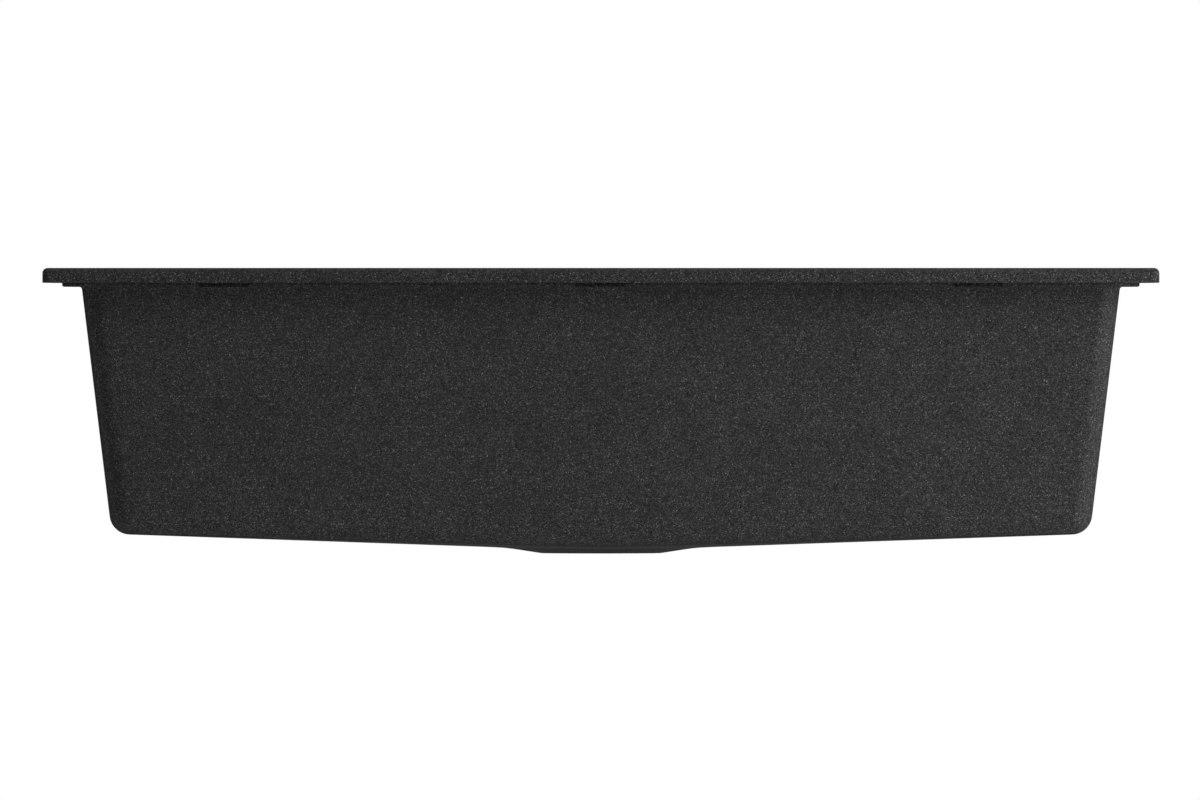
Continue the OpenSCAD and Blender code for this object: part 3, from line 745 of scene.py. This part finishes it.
steel_lines.links.new(line, steel_out.inputs["Height"])


def steel_material(name, lines_of, least, most, distance):
    """A stainless steel whose lines follow what lines_of makes of the place."""
    material, tree, shader = new_material(name, roughness=least, metallic=1.0)
    place = place_of(tree)
    drawn = use_group(tree, steel_lines, {
        "Lines": lines_of(tree, place), "Vector": place, "Bright": (0.58, 0.58, 0.59, 1),
        "Dull": (0.40, 0.40, 0.41, 1), "Least roughness": least, "Most roughness": most,
    })
    dress(tree, shader, drawn, distance)
    return material


def lines_along_y(tree, place):
    return stretched(tree, place, (1900.0, 9.0, 1900.0))


bar_steel = steel_material("Drawn bar steel", lines_along_y, 0.24, 0.40, 0.00002)
finish_piece(drawn_bars, bar_steel, "rack", "rack_steel", "rack_bars")

# Rack bands
# Two moulded silicone bands, 10 mm square, that grip the bars' ends in blind sockets and rest on the
# ledges. Shallow notches between the bars let the rack roll up.
band_edge, notch_depth, notch_half, notch_round = 0.0016, 0.0011, 0.0022, 0.7
end_length, end_tuck, end_columns = 0.004, 0.0035, (0, 0.0006, 0.0018, 0.004)


def band_shape(low, high):
    """A band with rounded edges and a notch across its top and bottom between every two bars."""
    notches = [(a + b) / 2 for a, b in zip(bar_xs, bar_xs[1:])]
    columns = {low.x + inward for inward in end_columns}
    columns |= {high.x - inward for inward in end_columns}
    for x in notches:
        columns |= {x + notch_half * share for share in (-1, -0.55, 0, 0.55, 1)}
    middle_y, middle_z = (low.y + high.y) / 2, (low.z + high.z) / 2
    half_y, half_z = (high.y - low.y) / 2, (high.z - low.z) / 2
    rings = []
    for x in sorted(columns):
        nearest = min(abs(x - n) for n in notches)
        dip = notch_depth * max(0.0, 1 - nearest / notch_half) ** notch_round
        near_end = 1 - min(x - low.x, high.x - x, end_length) / end_length
        tuck = end_tuck * (1 - math.sqrt(max(0.0, 1 - near_end ** 2)))
        wide, tall = half_y - tuck, half_z - tuck - dip
        rings.append([
            Vector((
                x, middle_y + sx * (wide - band_edge) + cx * band_edge,
                middle_z + sy * (tall - band_edge) + cy * band_edge,
            ))
            for sx, sy, cx, cy in way_round(4, 1, 1)
        ])
    points, faces = skin(rings)
    count = len(rings[0])
    faces += [tuple(range(count)), tuple(range(len(points) - count, len(points)))]
    return points, faces


rack_silicone = silicone_material(
    "Charcoal silicone", (0.030, 0.031, 0.034, 1), (0.105, 0.108, 0.112, 1)
)
socket_gap = 0.0001
bar_socket = [(0, -bar_half - socket_gap), (bar_radius + socket_gap, -bar_half - socket_gap)]
bar_socket += [(bar_radius + socket_gap, bar_half + socket_gap), (0, bar_half + socket_gap)]
for name, node in (("front_band", "rack_band_front"), ("rear_band", "rack_band_rear")):
    band = new_object(name, new_mesh(name, [band_shape(*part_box(node))]))
    cut(band, [
        lathe(bar_socket, 32, Matrix.Translation((x, bowl_y, bar_z)) @ upright_to_y) for x in bar_xs
    ])
    finish_piece(band, rack_silicone, "rack", "rack_silicone", node)

# Grid frame
# One 6 mm stainless wire, bent into a rounded rectangle a little inside the bowl's walls and butt
# welded. The other wires are welded onto it and below it.
frame_low, frame_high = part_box("grid_frame")
frame_radius, frame_corner = 0.003, 0.025
frame_z = (frame_low.z + frame_high.z) / 2
frame_half_x = (frame_high.x - frame_low.x) / 2 - frame_radius
frame_half_y = (frame_high.y - frame_low.y) / 2 - frame_radius


def closed_wire(path, radius, sides=16):
    """A round wire along a closed level path."""
    rings, around = [], turn(sides, 0, 360)[:-1]
    for before, here, after in zip(path[-1:] + path[:-1], path, path[1:] + path[:1]):
        ahead = (after - before).normalized()
        outward = Vector((ahead.y, -ahead.x, 0))
        rings.append([here + outward * radius * c + Vector((0, 0, radius * s)) for c, s in around])
    return skin(rings, closed=True)


frame_path = ring(way_round(12, 12, 8), frame_half_x, frame_half_y, frame_corner, frame_z)
bent_frame = new_object(
    "bent_frame", new_mesh("bent_frame", [closed_wire(frame_path, frame_radius, 24)])
)


def lines_all_ways(tree, place):
    return stretched(tree, place, (420.0, 420.0, 900.0))


grid_steel = steel_material("Electropolished wire", lines_all_ways, 0.15, 0.27, 0.000015)
finish_piece(bent_frame, grid_steel, "grid", "grid_steel", "grid_frame")

# Short wires
# 5 mm wires that lie across the frame from front to back every 32 mm, each spot welded where it meets
# another wire. Those over the drain stop on the ring round it.
wire_radius, wire_pitch, wire_count, wire_lap = 0.0025, 0.032, 10, 0.00125
bead_radius, bead_half = 0.0021, 0.0011
short_low, short_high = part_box("grid_short_wires")
short_z, short_half = (short_low.z + short_high.z) / 2, (short_high.y - short_low.y) / 2
ring_radius = (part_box("grid_drain_ring")[1].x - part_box("grid_drain_ring")[0].x) / 2 - wire_radius
long_low, long_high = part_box("grid_long_wires")
long_z, long_offset, wire_gap = (long_low.z + long_high.z) / 2, 0.095, 0.0001


def weld(x, y, z):
    """The small flattened bead of a spot weld."""
    profile = [(0, -bead_half)]
    profile += [(bead_radius * c, bead_half * s) for c, s in turn(6, -60, 60)]
    profile += [(0, bead_half)]
    return lathe(profile, 12, Matrix.Translation((x, y, z)))


short_shapes, welds = [], []
weld_z = (short_z + frame_z - wire_radius + frame_radius) / 2
ring_weld_z = (short_z + long_z) / 2
for i in range(-wire_count, wire_count + 1):
    x = i * wire_pitch
    spans = [(-short_half, short_half)]
    if abs(x) < ring_radius:
        start = math.sqrt(ring_radius ** 2 - x ** 2) - wire_lap
        spans = [(-short_half, -start), (start, short_half)]
        welds += [(x, bowl_y + side * (start + wire_lap), ring_weld_z) for side in (-1, 1)]
    for start, end in spans:
        middle = Matrix.Translation((x, bowl_y + (start + end) / 2, short_z)) @ upright_to_y
        short_shapes.append(rod(wire_radius, (end - start) / 2, middle))
    welds += [(x, bowl_y + side * frame_half_y, weld_z) for side in (-1, 1)]
    welds += [(x, bowl_y + side * long_offset, ring_weld_z) for side in (-1, 1)]
    if abs(x) > ring_radius + wire_radius:
        welds.append((x, bowl_y, ring_weld_z))
welded_short_wires = new_object(
    "welded_short_wires", new_mesh("welded_short_wires", short_shapes + [weld(*w) for w in welds])
)
finish_piece(welded_short_wires, grid_steel, "grid", "grid_steel", "grid_short_wires")

# Long wires and drain ring
# Wires of the same kind that run left to right under the short ones, from the frame to the frame or to
# the ring, and a ring of bent wire that leaves the drain and its cap free.
long_end = (long_high.x - long_low.x) / 2
ring_gap = ring_radius + wire_radius + wire_gap
upright_to_x = Matrix.Rotation(math.pi / 2, 4, "Y")
long_spans = [(side * long_offset, -long_end, long_end) for side in (-1, 1)]
long_spans += [(0, -long_end, -ring_gap), (0, ring_gap, long_end)]
long_shapes = [
    rod(
        wire_radius, (end - start) / 2,
        Matrix.Translation(((start + end) / 2, bowl_y + y, long_z)) @ upright_to_x,
    )
    for y, start, end in long_spans
]
welded_long_wires = new_object("welded_long_wires", new_mesh("welded_long_wires", long_shapes))
finish_piece(welded_long_wires, grid_steel, "grid", "grid_steel", "grid_long_wires")
ring_path = [
    Vector((ring_radius * c, bowl_y + ring_radius * s, long_z)) for c, s in turn(72, 0, 360)[:-1]
]
bent_ring = new_object(
    "bent_ring", new_mesh("bent_ring", [closed_wire(ring_path, wire_radius, 20)])
)
finish_piece(bent_ring, grid_steel, "grid", "grid_steel", "grid_drain_ring")

# Legs and feet
# Six short pins of the same wire, welded under the long wires, each pushed into a moulded silicone
# cup that stands on the bowl's floor.
foot_radius, foot_edge, cup_depth, cup_bore, cup_lip = 0.007, 0.0012, 0.007, 0.0026, 0.0005
foot_waist, foot_taper, leg_x, search_margin = 0.0004, 0.0009, 0.296, 0.001


def heights_near(node, x, y, reach):
    """The lowest and highest points of a CAD node close to a place."""
    points = [v.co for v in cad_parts[node].data.vertices]
    heights = [p.z for p in points if math.hypot(p.x - x, p.y - y) < reach]
    return min(heights), max(heights)


leg_places = [(x, bowl_y + side * long_offset) for x in (-leg_x, 0, leg_x) for side in (-1, 1)]
leg_shapes, foot_shapes = [], []
for x, y in leg_places:
    low, high = heights_near("grid_legs", x, y, wire_radius + search_margin)
    leg_middle = Matrix.Translation((x, y, (low + high) / 2))
    leg_shapes.append(rod(wire_radius, (high - low) / 2, leg_middle))
    low, high = heights_near("grid_feet", x, y, foot_radius + search_margin)
    height = high - low
    profile = [(0, 0)]
    profile += [(foot_radius - foot_edge * (1 - s), foot_edge * (1 - c)) for c, s in turn(4, 0, 90)]
    profile += [(foot_radius - foot_waist, height * 0.55)]
    profile += [
        (foot_radius - foot_taper - foot_edge * (1 - c), height - foot_edge * (1 - s))
        for c, s in turn(4, 0, 90)
    ]
    profile += [(cup_bore + cup_lip, height), (cup_bore, height - cup_lip)]
    profile += [(cup_bore, height - cup_depth), (0, height - cup_depth)]
    foot_shapes.append(lathe(profile, 32, Matrix.Translation((x, y, low))))
leg_pins = new_object("leg_pins", new_mesh("leg_pins", leg_shapes))
finish_piece(leg_pins, grid_steel, "grid", "grid_steel", "grid_legs")
grid_silicone = silicone_material(
    "Grey silicone", (0.040, 0.041, 0.044, 1), (0.125, 0.128, 0.132, 1)
)
foot_cups = new_object("foot_cups", new_mesh("foot_cups", foot_shapes))
finish_piece(foot_cups, grid_silicone, "grid", "grid_silicone", "grid_feet")

# Bumpers
# Eight moulded silicone sleeves, slipped over the frame wire before its ends were welded, that keep
# the steel off the bowl's walls.
sleeve_radius, sleeve_half, sleeve_bore, sleeve_edge = 0.006, 0.008, 0.0031, 0.0014
sleeve_lip, side_sleeve_x, end_sleeve_y = 0.0004, 6.5 * wire_pitch, 0.048
sleeve_profile = [(sleeve_bore, -sleeve_half + sleeve_lip), (sleeve_bore + sleeve_lip, -sleeve_half)]
sleeve_profile += [
    (sleeve_radius - sleeve_edge * (1 - s), sleeve_edge * (1 - c) - sleeve_half)
    for c, s in turn(4, 0, 90)
]
sleeve_profile += [
    (sleeve_radius - sleeve_edge * (1 - s), sleeve_half - sleeve_edge * (1 - c))
    for c, s in turn(4, 90, 0)
]
sleeve_profile += [(sleeve_bore + sleeve_lip, sleeve_half), (sleeve_bore, sleeve_half - sleeve_lip)]
sleeve_shapes = []
for i in (-1, 1):
    for j in (-1, 1):
        side_place = Matrix.Translation((i * side_sleeve_x, bowl_y + j * frame_half_y, frame_z))
        end_place = Matrix.Translation((i * frame_half_x, bowl_y + j * end_sleeve_y, frame_z))
        sleeve_shapes.append(lathe(sleeve_profile, 32, side_place @ upright_to_x))
        sleeve_shapes.append(lathe(sleeve_profile, 32, end_place @ upright_to_y))
wall_sleeves = new_object("wall_sleeves", new_mesh("wall_sleeves", sleeve_shapes))
finish_piece(wall_sleeves, grid_silicone, "grid", "grid_silicone", "grid_bumpers")

# Drain cap
# A turned stainless plate with a rolled edge and a shallow ring cut into its top. It stands over the
# drain on three silicone feet, so that water runs in under its edge while the waste stays out of sight.
cap_low, cap_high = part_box("drain_cap")
cap_radius, cap_thickness = (cap_high.x - cap_low.x) / 2, cap_high.z - cap_low.z
cap_place = Matrix.Translation((0, bowl_y, cap_low.z))
rolled = cap_thickness / 2
under_inset, plate_middle = 0.006, 0.008
cap_ring = [(0.0058, 0), (0.0070, 0.0005), (0.0088, 0.0006), (0.0100, 0.0001)]
cap_profile = [(0, 0), (cap_radius - under_inset, 0)]
cap_profile += [(cap_radius - rolled + rolled * c, rolled + rolled * s) for c, s in turn(10, -90, 90)]
cap_profile += [(cap_radius - inward, cap_thickness - down) for inward, down in cap_ring]
cap_profile += [(r, cap_thickness) for r in (cap_radius * 0.5, plate_middle, 0)]
turned_plate = new_object(
    "turned_plate", new_mesh("turned_plate", [lathe(cap_profile, 96, cap_place)])
)


def lines_round_drain(tree, place):
    """Places whose first axis is the distance from the drain's middle."""
    inputs = {0: place, 1: (0, -bowl_y, 0)}
    centred = add_node(tree, "ShaderNodeVectorMath", inputs, operation="ADD").outputs[0]
    flat = stretched(tree, centred, (1, 1, 0))
    reach = add_node(tree, "ShaderNodeVectorMath", {0: flat}, operation="LENGTH").outputs["Value"]
    height = add_node(tree, "ShaderNodeSeparateXYZ", {0: place}).outputs[2]
    line_place = add_node(tree, "ShaderNodeCombineXYZ", {0: reach, 1: height}).outputs[0]
    return stretched(tree, line_place, (900.0, 900.0, 1.0))


cap_steel = steel_material("Turned plate steel", lines_round_drain, 0.20, 0.36, 0.00003)
finish_piece(turned_plate, cap_steel, "cap", "cap_steel", "drain_cap")

# Cap feet
# Three small silicone buttons glued under the plate, which stand on the slope of the drain's recess.
feet_low, feet_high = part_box("cap_feet")
button_radius, button_edge, button_reach = 0.003, 0.0006, 0.050
button_height = feet_high.z - feet_low.z
button_profile = [(0, 0)]
button_profile += [
    (button_radius - button_edge * (1 - s), button_edge * (1 - c)) for c, s in turn(3, 0, 90)
]
button_profile += [(button_radius, button_height), (0, button_height)]
button_shapes = []
for direction in (90, 210, 330):
    toward = Matrix.Rotation(math.radians(direction), 4, "Z") @ Vector((button_reach, 0, 0))
    button_place = Matrix.Translation(toward + Vector((0, bowl_y, feet_low.z)))
    button_shapes.append(lathe(button_profile, 24, button_place))
button_feet = new_object("button_feet", new_mesh("button_feet", button_shapes))
cap_silicone = silicone_material(
    "Cap silicone", (0.035, 0.036, 0.038, 1), (0.115, 0.117, 0.12, 1)
)
finish_piece(button_feet, cap_silicone, "cap", "cap_silicone", "cap_feet")

# Cap knob
# A knob turned from stainless bar and screwed to the plate: a waisted stem under a round head with a
# shallow dish in its top, to lift the plate by.
knob_low, knob_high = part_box("cap_knob")
knob_radius, knob_height = (knob_high.x - knob_low.x) / 2, knob_high.z - knob_low.z
stem_radius, head_height = 0.006, 0.005
neck_drop, neck_flare, dish_depth = 0.0002, 0.0006, 0.0009
head_edge = head_height / 2
stem_waist = [(0, 0.0012), (0.0008, 0.0022), (0.0010, 0.0050), (0.0004, 0.0078)]
head_dish = [(0.0036, 0.0001), (0.0048, 0.0006)]
knob_profile = [(0, 0), (stem_radius, 0)]
knob_profile += [(stem_radius - inward, up) for inward, up in stem_waist]
knob_profile += [(stem_radius, knob_height - head_height - neck_drop)]
knob_profile += [(stem_radius + neck_flare, knob_height - head_height)]
knob_profile += [
    (knob_radius - head_edge + head_edge * c, knob_height - head_edge + head_edge * s)
    for c, s in turn(12, -90, 90)
]
knob_profile += [(knob_radius - inward, knob_height - down) for inward, down in head_dish]
knob_profile += [(r, knob_height - dish_depth) for r in (knob_radius * 0.25, 0)]
knob_place = Matrix.Translation((0, bowl_y, knob_low.z))
turned_knob = new_object(
    "turned_knob", new_mesh("turned_knob", [lathe(knob_profile, 64, knob_place)])
)
knob_steel = steel_material("Turned knob steel", lines_round_drain, 0.16, 0.28, 0.00002)
finish_piece(turned_knob, knob_steel, "cap", "cap_steel", "cap_knob")

# Studio
# A pale floor a little below the sink, which fades into a white room, and soft light: a large panel
# and a small one on the right, a weak strip under the front, one overhead, one behind and a fill.
floor_z, floor_radius, fade_start, fade_end = -0.5, 4.5, 0.25, 0.98
floor_sides, floor_glow, fill_strength = 64, 0.42, 0.16
floor_way = turn(floor_sides, 0, 360)[:-1]
floor_points = [(floor_radius * c, floor_radius * s, floor_z) for c, s in floor_way]
floor_mesh = bpy.data.meshes.new("floor")
floor_mesh.from_pydata(floor_points, [], [tuple(range(floor_sides))])
floor = new_object("floor", floor_mesh)
pale, tree, shader = new_material("Pale floor", roughness=0.9, specular=0.1)
shader.inputs["Base Color"].default_value = (0.7, 0.7, 0.7, 1)
output = tree.nodes["Material Output"]
ray = add_node(tree, "ShaderNodeLightPath").outputs
seen = math_of(tree, "MAXIMUM", ray["Is Camera Ray"], ray["Is Glossy Ray"])
seen = math_of(tree, "MAXIMUM", seen, ray["Is Transmission Ray"])
glow = add_node(tree, "ShaderNodeEmission", {"Strength": math_of(tree, "MULTIPLY", seen, floor_glow)})
lit = add_node(tree, "ShaderNodeAddShader", {0: shader.outputs[0], 1: glow.outputs[0]})
clear = add_node(tree, "ShaderNodeBsdfTransparent")
from_below = add_node(tree, "ShaderNodeNewGeometry").outputs["Backfacing"]
reach = add_node(
    tree, "ShaderNodeVectorMath", {0: stretched(tree, place_of(tree), (1, 1, 0))}, operation="LENGTH"
)
fade = add_node(tree, "ShaderNodeMapRange", {
    0: reach.outputs["Value"], 1: fade_start * floor_radius, 2: fade_end * floor_radius,
}, interpolation_type="SMOOTHSTEP")
unseen = math_of(tree, "MAXIMUM", from_below, fade.outputs[0])
shown = add_node(tree, "ShaderNodeMixShader", {0: unseen, 1: lit.outputs[0], 2: clear.outputs[0]})
tree.links.new(shown.outputs[0], output.inputs["Surface"])
floor.data.materials.append(pale)

world = bpy.data.worlds.new("White room")
world.use_nodes = True
bpy.context.scene.world = world
tree = world.node_tree
ray = add_node(tree, "ShaderNodeLightPath").outputs
seen = math_of(tree, "MAXIMUM", ray["Is Camera Ray"], ray["Is Glossy Ray"])
seen = math_of(tree, "MAXIMUM", seen, ray["Is Transmission Ray"])
backdrop = tree.nodes["Background"]
backdrop.inputs["Color"].default_value = (1, 1, 1, 1)
tree.links.new(range_of(tree, seen, 0.0, 1.0, fill_strength, 1.0), backdrop.inputs["Strength"])


def panel(name, place, aim, size, power, in_reflections=True):
    """A soft lamp panel that looks at a point."""
    lamp = bpy.data.lights.new(name, "AREA")
    lamp.shape = "RECTANGLE"
    lamp.size, lamp.size_y = size
    lamp.energy = power
    made = new_object(name, lamp)
    made.visible_camera = False
    made.visible_glossy = in_reflections
    made.location = place
    made.rotation_euler = (Vector(aim) - Vector(place)).to_track_quat("-Z", "Y").to_euler()


panel("key_panel", (1.70, -1.38, 0.72), (0, 0, -0.08), (1.4, 1.4), 44.5)
panel("side_panel", (1.69, -1.00, -0.22), (0.39, -0.25, -0.10), (0.36, 0.48), 8.2)
panel("low_panel", (0.15, -0.36, -0.47), (0.15, -0.36, 1.0), (1.5, 0.12), 0.7, False)
panel("top_panel", (0.5, 0.5, 2.3), (0, 0, 0), (2.6, 2.2), 34.0, False)
panel("rear_panel", (-0.9, 2.2, 0.7), (0, 0, -0.08), (1.6, 1.2), 22.0, False)

# Camera
# A very long lens, level with the rim's underside and 25 m in front of it, so that the sink is seen
# almost without perspective, as in the straight front view.
camera_x, camera_y, camera_z, aim_z = -0.00065, -25.2866, -0.008, -0.0879
camera_data = bpy.data.cameras.new("camera")
camera_data.lens = 1000
camera_data.sensor_width = 36
camera_data.clip_start = 0.1
camera_data.clip_end = 100
camera = new_object("camera", camera_data)
camera.location = (camera_x, camera_y, camera_z)
aim = Vector((camera_x, -rim_half_y, aim_z))
camera.rotation_euler = (aim - camera.location).to_track_quat("-Z", "Y").to_euler()
bpy.context.scene.camera = camera

bpy.context.scene.view_settings.view_transform = "Standard"
bpy.context.view_layer.update()
